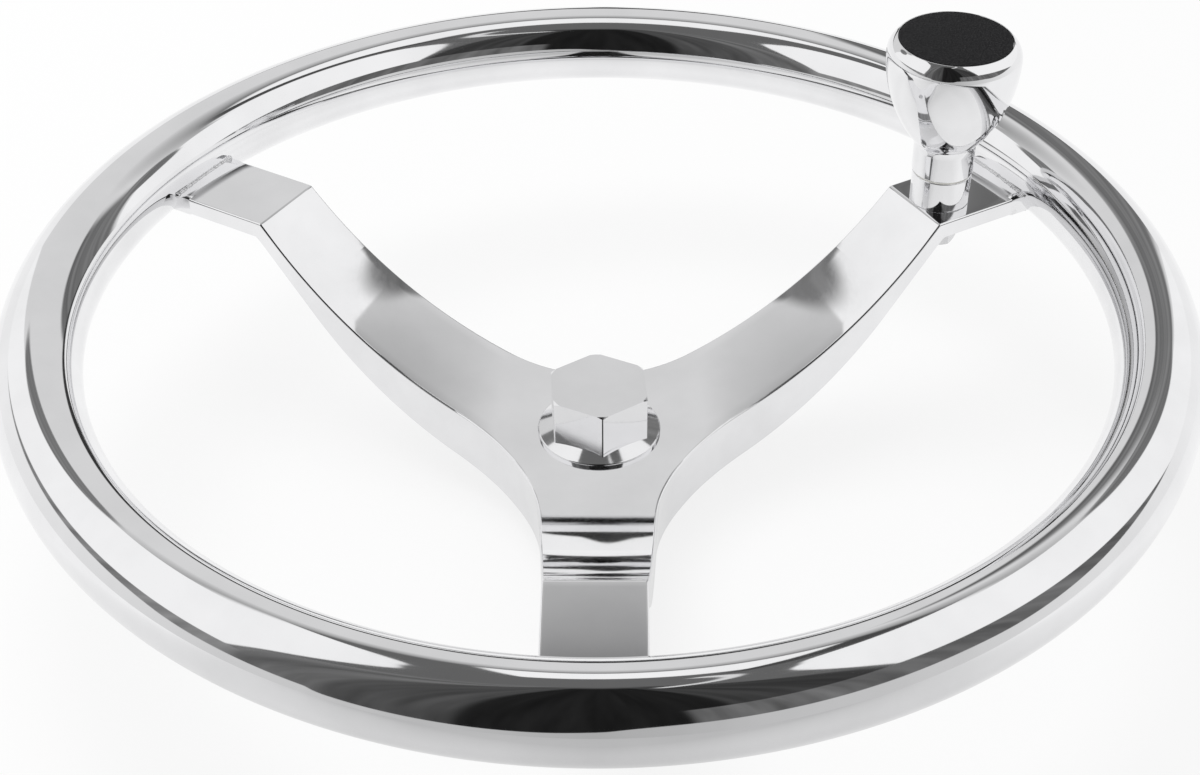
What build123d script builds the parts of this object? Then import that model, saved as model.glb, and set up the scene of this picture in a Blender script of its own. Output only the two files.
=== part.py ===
from build123d import *
import os
from math import asin, cos, degrees, hypot, radians, sin, sqrt

os.makedirs("parts", exist_ok=True)

# The origin is on the shaft axis at the hub's lower face, and +Z points to the driver. Sizes are in millimetres.

# Rim tube
rim_radius = 182.7
tube_diameter = 28.6
tube_wall = 1.5
rim_height = 86.0

# Spider: hub and three arms in one casting, each arm ending in a flat tab at the rim
arm_angles = (-90, 30, 150)
tab_length = 38.4
tab_width = 30.4
tab_thickness = 6.5
tab_drop = 2.0
arm_slope = 46.0
arm_straight = 6.0
arm_flare = 0.05
arm_fillet = 70.0
arm_skin = 4.0
arm_wall = 3.2
arm_side_depth = 21.0
arm_lower_radius = 135.0
channel_end = 7.0

# Hub, bored for a 3/4 in shaft with a 1 in 12 taper and its key
hub_height = 32.0
boss_diameter = 40.0
boss_chamfer = 1.0
taper_mouth_diameter = 19.05
taper_rate = 1 / 12
key_width = 4.76
key_depth = 2.2

# Weld beads between each tab and the tube
weld_leg = 2.2
weld_bulge = 0.35

# Centre nut, flanged and closed on top
nut_across_flats = 32.0
nut_height = 20.5
nut_turn = 4.5
flange_diameter = 42.5
flange_edge = 2.6
flange_cone = 2.0
seat_clearance = 0.35
nut_corner_cut = 1.0
nut_thread_minor = 14.35
nut_thread_major = 15.9
nut_thread_depth = 16.0

# Spinner knob: what stays still
collar_diameter = 21.2
collar_height = 11.6
collar_chamfer = 0.3
crease_gap = 0.4
thread_diameter = 8.0
thread_clearance = 0.2
shoulder_diameter = 10.0
head_diameter = 16.0
head_height = 8.0
head_socket_flats = 6.0
head_socket_depth = 4.5
thrust_thickness = 0.8
thrust_diameter = 20.4
spring_diameter = 17.0
spring_thickness = 0.6
spring_rise = 0.5
nut8_across_flats = 13.0
nut8_height = 6.5
washer_diameter = 16.0
washer_thickness = 1.6
lock_diameter = 14.4
lock_thickness = 2.0
lock_gap = 1.6
thread_beyond_nut = 2.5

# Spinner knob: what turns
knob_height = 64.4
neck_diameter = 21.8
neck_top = 24.0
lip_drop = 6.4
lip_diameter = 46.7
knob_bore = 14.0
bush_flange_diameter = 18.0
bush_flange_thickness = 1.2
bush_length = 10.0
chamber_floor = 38.0
chamber_diameter = 24.0
mouth_depth = 10.4
mouth_diameter = 34.0
cap_diameter = 39.0
cap_thickness = 2.4
cap_plug_length = 5.0
cap_clearance = 0.15
cap_crown = 0.3
ring_section = 1.8

# Fits
running_fit = 0.05
end_float = 0.05

# Worked out from the sizes above
tube_radius = tube_diameter / 2
tab_top = rim_height - tab_drop
tab_bottom = tab_top - tab_thickness
tab_reach = rim_radius - sqrt(tube_radius**2 - tab_drop**2)
crease_radius = tab_reach - tab_length
half_width = tab_width / 2
slope_sin = sin(radians(arm_slope))
slope_cos = cos(radians(arm_slope))
flange_radius = flange_diameter / 2
collar_radius = collar_diameter / 2
knob_radius = crease_radius + collar_radius + crease_gap
knob_angle = arm_angles[1]
knob_x = knob_radius * cos(radians(knob_angle))
knob_y = knob_radius * sin(radians(knob_angle))


def radial_plane(angle):
    """A plane through the shaft axis, with local X outwards at this angle and local Y along +Z."""
    across, along = sin(radians(angle)), cos(radians(angle))
    return Plane(origin=(0, 0, 0), x_dir=(along, across, 0), z_dir=(across, -along, 0))


# Knob pieces are drawn on a plane whose origin is on the tab's top face, on the knob's own axis
knob_plane = Plane(origin=(knob_x, knob_y, tab_top), x_dir=(1, 0, 0), z_dir=(0, -1, 0))
knob_axis = Axis((knob_x, knob_y, tab_top), (0, 0, 1))


def knob_level(height):
    """A level plane on the knob's axis, this far above the tab's top face."""
    return Plane(origin=(knob_x, knob_y, tab_top + height))


# Rim: one round tube bent to a full ring
with BuildPart() as rim_tube:
    with BuildSketch(Plane.XZ):
        with Locations((rim_radius, rim_height)):
            Circle(tube_radius)
            Circle(tube_radius - tube_wall, mode=Mode.SUBTRACT)
    revolve(axis=Axis.Z)
rim_tube.part.label = "rim_tube"
export_step(rim_tube.part, "parts/rim_tube.step")

# The tube's outside as a solid ring, which cuts the tab ends and the weld beads to its curve
with BuildPart() as tube_outside:
    with BuildSketch(Plane.XZ):
        with Locations((rim_radius, rim_height)):
            Circle(tube_radius)
    revolve(axis=Axis.Z)


def arm_profile(drop, inner_end, outer_end):
    """Side line of an arm's top face, lowered by drop square to itself, from inner_end to outer_end."""
    crease_x = crease_radius + drop * slope_sin / (1 + slope_cos)
    straight_x = crease_radius - arm_straight * slope_cos + drop * slope_sin
    straight_y = tab_top - arm_straight * slope_sin - drop * slope_cos
    sweep = (tab_top - hub_height - arm_straight * slope_sin) / (1 - slope_cos)
    arc_x = crease_radius - arm_straight * slope_cos - sweep * slope_sin
    Line((inner_end, hub_height - drop), (arc_x, hub_height - drop))
    if outer_end < straight_x:
        rise = sweep - sqrt((sweep + drop) ** 2 - (outer_end - arc_x) ** 2)
        RadiusArc((arc_x, hub_height - drop), (outer_end, hub_height + rise), -(sweep + drop))
        return (outer_end, hub_height + rise)
    RadiusArc((arc_x, hub_height - drop), (straight_x, straight_y), -(sweep + drop))
    if outer_end < crease_x:
        end = (outer_end, straight_y + (outer_end - straight_x) * slope_sin / slope_cos)
        Line((straight_x, straight_y), end)
        return end
    Line((straight_x, straight_y), (crease_x, tab_top - drop))
    Line((crease_x, tab_top - drop), (outer_end, tab_top - drop))
    return (outer_end, tab_top - drop)


def arm_plan(inset):
    """One arm's third of the outline seen from above, moved in by inset, with the arm along +X."""
    lean = hypot(1, arm_flare)
    edge = half_width - inset * lean
    corner = arm_fillet * lean + half_width + arm_flare * crease_radius
    reach = corner / (sin(radians(60)) + arm_flare * cos(radians(60)))
    centre = (reach * cos(radians(60)), reach * sin(radians(60)))
    radius = arm_fillet + inset
    tangent = (centre[0] - radius * arm_flare / lean, centre[1] - radius / lean)
    middle = (centre[0] - radius * cos(radians(60)), centre[1] - radius * sin(radians(60)))
    return edge, middle, tangent, radius


def arm_outline(inset, outer_end):
    """The lines of that outline, mirrored to both sides of the arm."""
    edge, middle, tangent, radius = arm_plan(inset)
    Line((0, 0), middle)
    RadiusArc(middle, tangent, radius)
    Line(tangent, (crease_radius, edge))
    Line((crease_radius, edge), (outer_end, edge))
    Line((outer_end, edge), (outer_end, 0))
    mirror(about=Plane.XZ)


# One arm along +X with its third of the hub, as a solid
far_inside = -60.0
with BuildPart() as arm:
    lower_x = crease_radius + tab_thickness * slope_sin / (1 + slope_cos)
    lower_floor = hub_height - arm_side_depth
    lower_straight = (tab_bottom - lower_floor - arm_lower_radius * (1 - slope_cos)) / slope_sin
    lower_arc_x = lower_x - lower_straight * slope_cos
    lower_arc_y = tab_bottom - lower_straight * slope_sin
    with BuildSketch(Plane.XZ):
        with BuildLine():
            arm_profile(0, far_inside, rim_radius)
            Line((rim_radius, tab_top), (rim_radius, tab_bottom))
            Line((rim_radius, tab_bottom), (lower_x, tab_bottom))
            Line((lower_x, tab_bottom), (lower_arc_x, lower_arc_y))
            arc_foot = (lower_arc_x - arm_lower_radius * slope_sin, lower_floor)
            RadiusArc((lower_arc_x, lower_arc_y), arc_foot, arm_lower_radius)
            Line(arc_foot, (far_inside, lower_floor))
            Line((far_inside, lower_floor), (far_inside, hub_height))
        make_face()
    extrude(amount=rim_radius, both=True)
    with BuildSketch(Plane.XY):
        with BuildLine():
            arm_outline(0, rim_radius)
        make_face()
    extrude(amount=rim_height + tube_diameter, mode=Mode.INTERSECT)

# The hollow under that arm, open below
with BuildPart() as channel:
    channel_reach = crease_radius - channel_end
    with BuildSketch(Plane.XZ):
        with BuildLine():
            roof_end = arm_profile(arm_skin, far_inside, channel_reach)
            Line(roof_end, (channel_reach, 0))
            Line((channel_reach, 0), (far_inside, 0))
            Line((far_inside, 0), (far_inside, hub_height - arm_skin))
        make_face()
    extrude(amount=rim_radius, both=True)
    with BuildSketch(Plane.XY):
        with BuildLine():
            arm_outline(arm_wall, rim_radius)
        make_face()
    extrude(amount=rim_height + tube_diameter, mode=Mode.INTERSECT)

# Spider: the three arms and the hub, cast in one piece, then bored, keyed and fitted to the tube
with BuildPart() as spider:
    for angle in arm_angles:
        add(arm.part, rotation=(0, 0, angle))
    for angle in arm_angles:
        add(channel.part, rotation=(0, 0, angle), mode=Mode.SUBTRACT)
    with BuildSketch(Plane.XY):
        Circle(boss_diameter / 2)
    extrude(amount=hub_height - arm_skin / 2)
    chamfer(spider.edges().filter_by(GeomType.CIRCLE).sort_by(Axis.Z)[0], boss_chamfer)
    with BuildSketch(Plane.XY.offset(hub_height)):
        Circle(flange_radius + seat_clearance)
    extrude(amount=arm_skin, mode=Mode.SUBTRACT)
    taper_top_radius = (taper_mouth_diameter - hub_height * taper_rate) / 2
    with BuildSketch(Plane.XZ):
        with BuildLine():
            Polyline(
                (0, 0),
                (taper_mouth_diameter / 2, 0),
                (taper_top_radius, hub_height),
                (0, hub_height),
                close=True,
            )
        make_face()
    revolve(axis=Axis.Z, mode=Mode.SUBTRACT)
    with BuildSketch(Plane.YZ):
        with BuildLine():
            Polyline(
                (0, 0),
                (taper_mouth_diameter / 2 + key_depth, 0),
                (taper_top_radius + key_depth, hub_height),
                (0, hub_height),
                close=True,
            )
        make_face()
    extrude(amount=key_width / 2, both=True, mode=Mode.SUBTRACT)
    add(tube_outside.part, mode=Mode.SUBTRACT)
    with BuildSketch(knob_level(0)):
        Circle(thread_diameter / 2 + thread_clearance)
    extrude(amount=-tab_thickness, mode=Mode.SUBTRACT)
spider.part.label = "spider"
export_step(spider.part, "parts/spider.step")


# Weld beads: one above and one below each tab, along its curved joint with the tube
def on_tube(turn, depth=0.0):
    """A point of the tube's round section at this angle from outwards, or this depth inside it."""
    reach = tube_radius - depth
    return (rim_radius + reach * cos(radians(turn)), rim_height + reach * sin(radians(turn)))


with BuildPart() as weld_ring:
    bead_turn = degrees(weld_leg / tube_radius)
    seam_upper = 180 + degrees(asin(tab_drop / tube_radius))
    seam_lower = 180 + degrees(asin((tab_drop + tab_thickness) / tube_radius))
    with BuildSketch(Plane.XZ):
        for seam, side in ((seam_upper, -1), (seam_lower, 1)):
            toe_x, toe_y = on_tube(seam)[0] - weld_leg, on_tube(seam)[1]
            finish = on_tube(seam + side * bead_turn)
            crown_x = (toe_x + finish[0]) / 2 - weld_bulge
            crown_y = (toe_y + finish[1]) / 2 - side * weld_bulge
            with BuildLine():
                ThreePointArc((toe_x, toe_y), (crown_x, crown_y), finish)
                Line(finish, on_tube(seam + side * bead_turn, weld_leg / 2))
                Line(on_tube(seam + side * bead_turn, weld_leg / 2), (on_tube(seam, weld_leg / 2)[0], toe_y))
                Line((on_tube(seam, weld_leg / 2)[0], toe_y), (toe_x, toe_y))
            make_face()
    revolve(axis=Axis.Z)
    add(tube_outside.part, mode=Mode.SUBTRACT)

with BuildPart() as spoke_welds:
    for angle in arm_angles:
        with BuildSketch(radial_plane(angle)):
            with Locations((rim_radius, rim_height)):
                Rectangle(tube_diameter + 4 * weld_leg, tube_diameter)
        extrude(amount=half_width, both=True)
    add(weld_ring.part, mode=Mode.INTERSECT)
spoke_welds.part.label = "spoke_welds"
export_step(spoke_welds.part, "parts/spoke_welds.step")

# Centre nut: hexagon with its own flange, closed on top, holding the wheel down on the shaft's taper
with BuildPart() as centre_nut:
    nut_corner_radius = nut_across_flats / 2 / cos(radians(30))
    with BuildSketch(Plane.XY.offset(hub_height)):
        RegularPolygon(nut_across_flats / 2, 6, major_radius=False, rotation=nut_turn + 30)
    extrude(amount=nut_height)
    with BuildSketch(Plane.XZ):
        with BuildLine():
            Polyline(
                (0, hub_height),
                (nut_corner_radius, hub_height),
                (nut_corner_radius, hub_height + nut_height - nut_corner_cut / sqrt(3)),
                (nut_corner_radius - nut_corner_cut, hub_height + nut_height),
                (0, hub_height + nut_height),
                close=True,
            )
        make_face()
    revolve(axis=Axis.Z, mode=Mode.INTERSECT)
    with BuildSketch(Plane.XZ):
        with BuildLine():
            Polyline(
                (0, hub_height),
                (flange_radius, hub_height),
                (flange_radius, hub_height + flange_edge),
                (nut_across_flats / 2, hub_height + flange_edge + flange_cone),
                (0, hub_height + flange_edge + flange_cone),
                close=True,
            )
        make_face()
    revolve(axis=Axis.Z)
    mouth = (nut_thread_major - nut_thread_minor) / 2
    with BuildSketch(Plane.XZ):
        with BuildLine():
            Polyline(
                (0, hub_height),
                (nut_thread_major / 2, hub_height),
                (nut_thread_minor / 2, hub_height + mouth),
                (nut_thread_minor / 2, hub_height + nut_thread_depth),
                (0, hub_height + nut_thread_depth + nut_thread_minor / 4),
                close=True,
            )
        make_face()
    revolve(axis=Axis.Z, mode=Mode.SUBTRACT)
centre_nut.part.label = "centre_nut"
export_step(centre_nut.part, "parts/centre_nut.step")

# Base collar: plain turned spacer between the tab and the turning knob
with BuildPart() as base_collar:
    with BuildSketch(knob_level(0)):
        Circle(collar_radius)
        Circle(thread_diameter / 2 + thread_clearance, mode=Mode.SUBTRACT)
    extrude(amount=collar_height)
    chamfer(base_collar.edges().filter_by(GeomType.CIRCLE).group_by(SortBy.RADIUS)[-1], collar_chamfer)
base_collar.part.label = "base_collar"
export_step(base_collar.part, "parts/base_collar.step")

# Thrust washer that the knob turns on
knob_foot = collar_height + thrust_thickness
with BuildPart() as thrust_washer:
    with BuildSketch(knob_level(collar_height)):
        Circle(thrust_diameter / 2)
        Circle(shoulder_diameter / 2 + running_fit, mode=Mode.SUBTRACT)
    extrude(amount=thrust_thickness)
thrust_washer.part.label = "thrust_washer"
export_step(thrust_washer.part, "parts/thrust_washer.step")

# Knob body: turned goblet with a bore for the two bushes, a chamber for the bolt head and a rebate for the cap
with BuildPart() as knob_body:
    neck_radius = neck_diameter / 2
    lip_radius = lip_diameter / 2
    lip_height = knob_height - lip_drop
    mouth_height = knob_height - mouth_depth
    rebate_radius = cap_diameter / 2 + cap_clearance
    rebate_floor = knob_height - cap_thickness
    bush_seat = bush_flange_diameter / 2 + cap_clearance
    with BuildSketch(knob_plane):
        with BuildLine():
            Line((knob_bore / 2, knob_foot + bush_flange_thickness), (bush_seat, knob_foot + bush_flange_thickness))
            Line((bush_seat, knob_foot + bush_flange_thickness), (bush_seat, knob_foot))
            Line((bush_seat, knob_foot), (neck_radius, knob_foot))
            Line((neck_radius, knob_foot), (neck_radius, neck_top))
            TangentArc((lip_radius, lip_height), (neck_radius, neck_top), tangent=(0, -1))
            TangentArc((lip_radius, lip_height), (rebate_radius, knob_height), tangent=(0, 1))
            Line((rebate_radius, knob_height), (rebate_radius, rebate_floor))
            Line((rebate_radius, rebate_floor), (mouth_diameter / 2, rebate_floor))
            Line((mouth_diameter / 2, rebate_floor), (mouth_diameter / 2, mouth_height))
            Line((mouth_diameter / 2, mouth_height), (chamber_diameter / 2, mouth_height))
            Line((chamber_diameter / 2, mouth_height), (chamber_diameter / 2, chamber_floor))
            Line((chamber_diameter / 2, chamber_floor), (knob_bore / 2, chamber_floor))
            Line((knob_bore / 2, chamber_floor), (knob_bore / 2, knob_foot + bush_flange_thickness))
        make_face()
    revolve(axis=knob_axis)
knob_body.part.label = "knob_body"
export_step(knob_body.part, "parts/knob_body.step")

# Bushes: the same flanged sleeve, flange down at the foot and flange up on the chamber's floor
bush_places = (("lower_bush", knob_foot + bush_flange_thickness, -1), ("upper_bush", chamber_floor, 1))
for bush_name, seat, way in bush_places:
    with BuildPart() as bush:
        with BuildSketch(knob_level(seat)):
            Circle(knob_bore / 2)
        extrude(amount=-way * bush_length)
        with BuildSketch(knob_level(seat)):
            Circle(bush_flange_diameter / 2)
        extrude(amount=way * bush_flange_thickness)
        with BuildSketch(knob_level(seat + way * bush_flange_thickness)):
            Circle(shoulder_diameter / 2 + running_fit)
        extrude(amount=-way * (bush_flange_thickness + bush_length), mode=Mode.SUBTRACT)
    bush.part.label = bush_name
    export_step(bush.part, f"parts/{bush_name}.step")

# Disc spring between the upper bush and the bolt's head, which takes up the knob's end play
spring_foot = chamber_floor + bush_flange_thickness + end_float
head_seat = spring_foot + spring_thickness + spring_rise
with BuildPart() as disc_spring:
    with BuildSketch(knob_plane):
        with BuildLine():
            Polyline(
                (shoulder_diameter / 2 + running_fit, head_seat - spring_thickness),
                (spring_diameter / 2, spring_foot),
                (spring_diameter / 2, spring_foot + spring_thickness),
                (shoulder_diameter / 2 + running_fit, head_seat),
                close=True,
            )
        make_face()
    revolve(axis=knob_axis)
disc_spring.part.label = "disc_spring"
export_step(disc_spring.part, "parts/disc_spring.step")

# Shoulder bolt: the knob's axle, clamped through collar and tab by the nut below
stack_below = tab_thickness + washer_thickness + lock_thickness + nut8_height
with BuildPart() as shoulder_bolt:
    with BuildSketch(knob_plane):
        with BuildLine():
            Polyline(
                (0, -stack_below - thread_beyond_nut),
                (thread_diameter / 2 - 1, -stack_below - thread_beyond_nut),
                (thread_diameter / 2, -stack_below - thread_beyond_nut + 1),
                (thread_diameter / 2, collar_height),
                (shoulder_diameter / 2, collar_height),
                (shoulder_diameter / 2, head_seat),
                (head_diameter / 2, head_seat),
                (head_diameter / 2, head_seat + head_height),
                (0, head_seat + head_height),
                close=True,
            )
        make_face()
    revolve(axis=knob_axis)
    with BuildSketch(knob_level(head_seat + head_height)):
        RegularPolygon(head_socket_flats / 2, 6, major_radius=False)
    extrude(amount=-head_socket_depth, mode=Mode.SUBTRACT)
shoulder_bolt.part.label = "shoulder_bolt"
export_step(shoulder_bolt.part, "parts/shoulder_bolt.step")

# Plain washer, split lock washer and nut under the tab
with BuildPart() as tab_washer:
    with BuildSketch(knob_level(-tab_thickness)):
        Circle(washer_diameter / 2)
        Circle(thread_diameter / 2 + thread_clearance, mode=Mode.SUBTRACT)
    extrude(amount=-washer_thickness)
tab_washer.part.label = "tab_washer"
export_step(tab_washer.part, "parts/tab_washer.step")

with BuildPart() as lock_washer:
    with BuildSketch(knob_level(-tab_thickness - washer_thickness)):
        Circle(lock_diameter / 2)
        Circle(thread_diameter / 2 + thread_clearance, mode=Mode.SUBTRACT)
        with Locations((lock_diameter / 2, 0)):
            Rectangle(lock_diameter, lock_gap, mode=Mode.SUBTRACT)
    extrude(amount=-lock_thickness)
lock_washer.part.label = "lock_washer"
export_step(lock_washer.part, "parts/lock_washer.step")

with BuildPart() as knob_nut:
    with BuildSketch(knob_level(-stack_below)):
        RegularPolygon(nut8_across_flats / 2, 6, major_radius=False)
        Circle(thread_diameter / 2, mode=Mode.SUBTRACT)
    extrude(amount=nut8_height)
knob_nut.part.label = "knob_nut"
export_step(knob_nut.part, "parts/knob_nut.step")

# Cap: black insert pressed into the knob's rebate, with a plug that carries a retaining ring
with BuildPart() as knob_cap:
    plug_radius = mouth_diameter / 2 - cap_clearance
    groove_radius = mouth_diameter / 2 - ring_section
    groove_middle = rebate_floor - cap_plug_length / 2
    with BuildSketch(knob_plane):
        with BuildLine():
            Line((0, rebate_floor - cap_plug_length), (plug_radius, rebate_floor - cap_plug_length))
            Line((plug_radius, rebate_floor - cap_plug_length), (plug_radius, rebate_floor))
            Line((plug_radius, rebate_floor), (cap_diameter / 2, rebate_floor))
            Line((cap_diameter / 2, rebate_floor), (cap_diameter / 2, knob_height))
            TangentArc((0, knob_height + cap_crown), (cap_diameter / 2, knob_height), tangent=(1, 0))
            Line((0, knob_height + cap_crown), (0, rebate_floor - cap_plug_length))
        make_face()
        with Locations((groove_radius + ring_section / 2, groove_middle)):
            Rectangle(ring_section, ring_section * 1.3, mode=Mode.SUBTRACT)
    revolve(axis=knob_axis)
knob_cap.part.label = "knob_cap"
export_step(knob_cap.part, "parts/knob_cap.step")

with BuildPart() as cap_ring:
    with BuildSketch(knob_plane):
        with Locations((groove_radius + ring_section / 2, groove_middle)):
            Circle(ring_section / 2)
    revolve(axis=knob_axis)
cap_ring.part.label = "cap_ring"
export_step(cap_ring.part, "parts/cap_ring.step")
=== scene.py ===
# %% [markdown]
# # A boat's steering wheel in polished stainless steel
# The wheel has a rim of round tube, one casting with a hub and three arms, a flanged nut on the
# shaft and a knob that spins on one arm. Its solids were packed from CAD, and they are the frame
# here: every piece below lies exactly where its solid lies, in metres.

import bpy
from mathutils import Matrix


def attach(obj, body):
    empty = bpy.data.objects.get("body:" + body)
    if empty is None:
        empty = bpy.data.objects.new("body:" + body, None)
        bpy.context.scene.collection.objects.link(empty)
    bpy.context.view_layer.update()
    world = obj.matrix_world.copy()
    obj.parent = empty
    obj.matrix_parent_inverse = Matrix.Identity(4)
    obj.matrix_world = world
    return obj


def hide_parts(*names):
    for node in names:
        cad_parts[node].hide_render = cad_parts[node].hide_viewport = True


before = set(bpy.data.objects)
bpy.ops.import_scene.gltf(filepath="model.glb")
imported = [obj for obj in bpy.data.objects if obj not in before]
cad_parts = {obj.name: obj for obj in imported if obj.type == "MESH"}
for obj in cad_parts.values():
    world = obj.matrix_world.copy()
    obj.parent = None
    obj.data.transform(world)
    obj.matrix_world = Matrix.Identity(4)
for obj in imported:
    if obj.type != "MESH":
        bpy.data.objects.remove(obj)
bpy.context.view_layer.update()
print("solids:", ", ".join(sorted(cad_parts)))

# %% [markdown]
# ## Tools
# The script uses Blender's own Python modules and some trigonometry. Blender counts in metres and
# this wheel is drawn in millimetres, so mm turns one into the other.

# %% The tools used below
from math import asin, atan2, cos, degrees, pi, radians, sin, sqrt, tan

import bmesh
import bpy
from mathutils import Matrix, Vector, noise

mm = 0.001
scene = bpy.context.scene

# %% [markdown]
# ## Camera
# The photograph looks down on the wheel at a slant of about 36 degrees from close by, which makes
# the near side of the rim look much thicker than the far side. The camera's place was fitted to
# the outlines of the rim. The rim's middle lies above the middle of the picture, so the lens is
# shifted a little, as on a product camera, and not tilted.

# %% Camera
rim_middle = Vector((0, 0, 86 * mm))
camera_turn, camera_rise, camera_roll, camera_reach = radians(-89.4), 0.6225, -0.0049, 0.694
towards_camera = Vector((cos(camera_turn) * cos(camera_rise), sin(camera_turn) * cos(camera_rise),
                         sin(camera_rise)))
camera_data = bpy.data.cameras.new("product_camera")
camera_data.sensor_fit = "HORIZONTAL"
camera_data.sensor_width = 36
camera_data.lens = 62.53
camera_data.shift_x, camera_data.shift_y = 0.00125, -0.0681
camera_data.clip_start, camera_data.clip_end = 0.01, 50
camera = bpy.data.objects.new("product_camera", camera_data)
turn = towards_camera.to_track_quat("Z", "Y").to_matrix().to_4x4() @ Matrix.Rotation(camera_roll, 4, "Z")
camera.matrix_world = Matrix.Translation(rim_middle + towards_camera * camera_reach) @ turn
scene.collection.objects.link(camera)
scene.camera = camera
print("camera at", [round(v, 4) for v in camera.location])

# %% [markdown]
# ## Node helpers
# A finish is a small graph of shader nodes. These helpers add a node with its settings and set the
# inputs by name, so that each material below can be read like a recipe.

# %% Node helpers
def add_node(tree, kind, settings=None, **inputs):
    """Adds a node with its settings, then its inputs: numbers, colours or other nodes' outputs."""
    node = tree.nodes.new("ShaderNode" + kind)
    for name, value in (settings or {}).items():
        setattr(node, name, value)
    for name, value in inputs.items():
        socket = node.inputs[int(name[1:])] if name[1:].isdigit() else node.inputs[name.replace("_", " ")]
        if isinstance(value, bpy.types.NodeSocket):
            tree.links.new(value, socket)
        else:
            socket.default_value = value
    return node


def calc(tree, operation, *values):
    """The result of a Math node on one to three numbers or outputs."""
    named = {f"_{index}": value for index, value in enumerate(values)}
    return add_node(tree, "Math", {"operation": operation}, **named).outputs[0]


def new_finish(name, colour, roughness, metallic=0.0):
    """A material with one Principled shader, whose plain values are set on its own sockets."""
    material = bpy.data.materials.new(name)
    material.use_nodes = True
    shader = material.node_tree.nodes["Principled BSDF"]
    shader.inputs["Base Color"].default_value = (*colour, 1)
    shader.inputs["Roughness"].default_value = roughness
    shader.inputs["Metallic"].default_value = metallic
    material.diffuse_color = (*colour, 1)
    return material, material.node_tree, shader


def link(tree, output, socket):
    tree.links.new(output, socket)


# %% [markdown]
# ## Buffed steel
# A buffing wheel leaves very fine marks that run the way the piece moved under it: along the rim,
# around the knob, along the arms. Close up they only change how sharp a reflection is. Noise that
# is stretched along that way makes them. The marks are the same for every steel piece, so they are
# one node group, which gets a position already laid out along the marks and returns a mask of the
# marks, a mask of soft smears and a height for the bump.

# %% The buffing marks as a node group
def make_buffing():
    tree = bpy.data.node_groups.new("buffing_marks", "ShaderNodeTree")
    tree.interface.new_socket("Laid Out", in_out="INPUT", socket_type="NodeSocketVector")
    tree.interface.new_socket("Place", in_out="INPUT", socket_type="NodeSocketVector")
    for output in ("Marks", "Smears", "Height"):
        tree.interface.new_socket(output, in_out="OUTPUT", socket_type="NodeSocketFloat")
    start = tree.nodes.new("NodeGroupInput")
    end = tree.nodes.new("NodeGroupOutput")
    fine = add_node(tree, "TexNoise", Vector=start.outputs["Laid Out"], Scale=1.0, Detail=5.0, Roughness=0.7)
    smear = add_node(tree, "TexNoise", Vector=start.outputs["Place"], Scale=38.0, Detail=3.0, Roughness=0.55)
    wave = add_node(tree, "TexNoise", Vector=start.outputs["Place"], Scale=55.0, Detail=1.0, Roughness=0.4)
    marks = add_node(tree, "MapRange", Value=fine.outputs["Fac"], From_Min=0.35, From_Max=0.7)
    smears = add_node(tree, "MapRange", Value=smear.outputs["Fac"], From_Min=0.35, From_Max=0.75)
    height = calc(tree, "MULTIPLY_ADD", fine.outputs["Fac"], 0.02, wave.outputs["Fac"])
    link(tree, marks.outputs["Result"], end.inputs["Marks"])
    link(tree, smears.outputs["Result"], end.inputs["Smears"])
    link(tree, height, end.inputs["Height"])
    return tree


buffing = make_buffing()
given = [socket.name for socket in buffing.interface.items_tree if socket.in_out == "OUTPUT"]
print("group:", buffing.name, "gives", given)

# %% [markdown]
# The marks run around an axis on turned pieces, so their noise reads the distance from that axis
# and the height along it, and hardly the angle: two numbers that stay the same all the way round,
# with no seam. On the cast arms the marks wander, and the noise reads the plain position.

# %% A finish for any steel piece
def steel_finish(name, colour, roughness, axis=None, mark_scale=900.0, marks=0.03, smears=0.03,
                 wave=0.004):
    """Steel whose marks run round the axis at this (x, y), or wander where axis is None."""
    material, tree, shader = new_finish(name, colour, roughness, 1.0)
    place = add_node(tree, "TexCoord").outputs["Object"]
    if axis is None:
        stretch = (mark_scale, mark_scale * 0.35, mark_scale * 0.6)
        laid = add_node(tree, "Mapping", Vector=place, Scale=stretch).outputs[0]
    else:
        centred = add_node(tree, "Mapping", Vector=place, Location=(-axis[0], -axis[1], 0)).outputs[0]
        parts = add_node(tree, "SeparateXYZ", Vector=centred)
        flat = add_node(tree, "CombineXYZ", X=parts.outputs["X"], Y=parts.outputs["Y"])
        reach = add_node(tree, "VectorMath", {"operation": "LENGTH"}, Vector=flat.outputs[0]).outputs["Value"]
        around = add_node(tree, "VectorMath", {"operation": "SCALE"}, Vector=flat.outputs[0],
                          Scale=12 / mark_scale)
        pair = add_node(tree, "CombineXYZ", X=reach, Y=parts.outputs["Z"])
        both = add_node(tree, "VectorMath", {"operation": "ADD"}, _0=pair.outputs[0], _1=around.outputs[0])
        laid = add_node(tree, "VectorMath", {"operation": "SCALE"}, Vector=both.outputs[0],
                        Scale=mark_scale).outputs[0]
    group = tree.nodes.new("ShaderNodeGroup")
    group.node_tree = buffing
    link(tree, laid, group.inputs["Laid Out"])
    link(tree, place, group.inputs["Place"])
    rough = calc(tree, "MULTIPLY_ADD", group.outputs["Marks"], marks, roughness)
    rough = calc(tree, "MULTIPLY_ADD", group.outputs["Smears"], smears, rough)
    link(tree, rough, shader.inputs["Roughness"])
    dull = tuple(c * 0.93 for c in colour)
    tint = add_node(tree, "Mix", {"data_type": "RGBA"}, _0=group.outputs["Smears"],
                    _6=(*colour, 1), _7=(*dull, 1))
    link(tree, tint.outputs[2], shader.inputs["Base Color"])
    bump = add_node(tree, "Bump", Height=group.outputs["Height"], Strength=1.0, Distance=wave * mm)
    link(tree, bump.outputs[0], shader.inputs["Normal"])
    return material


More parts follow.
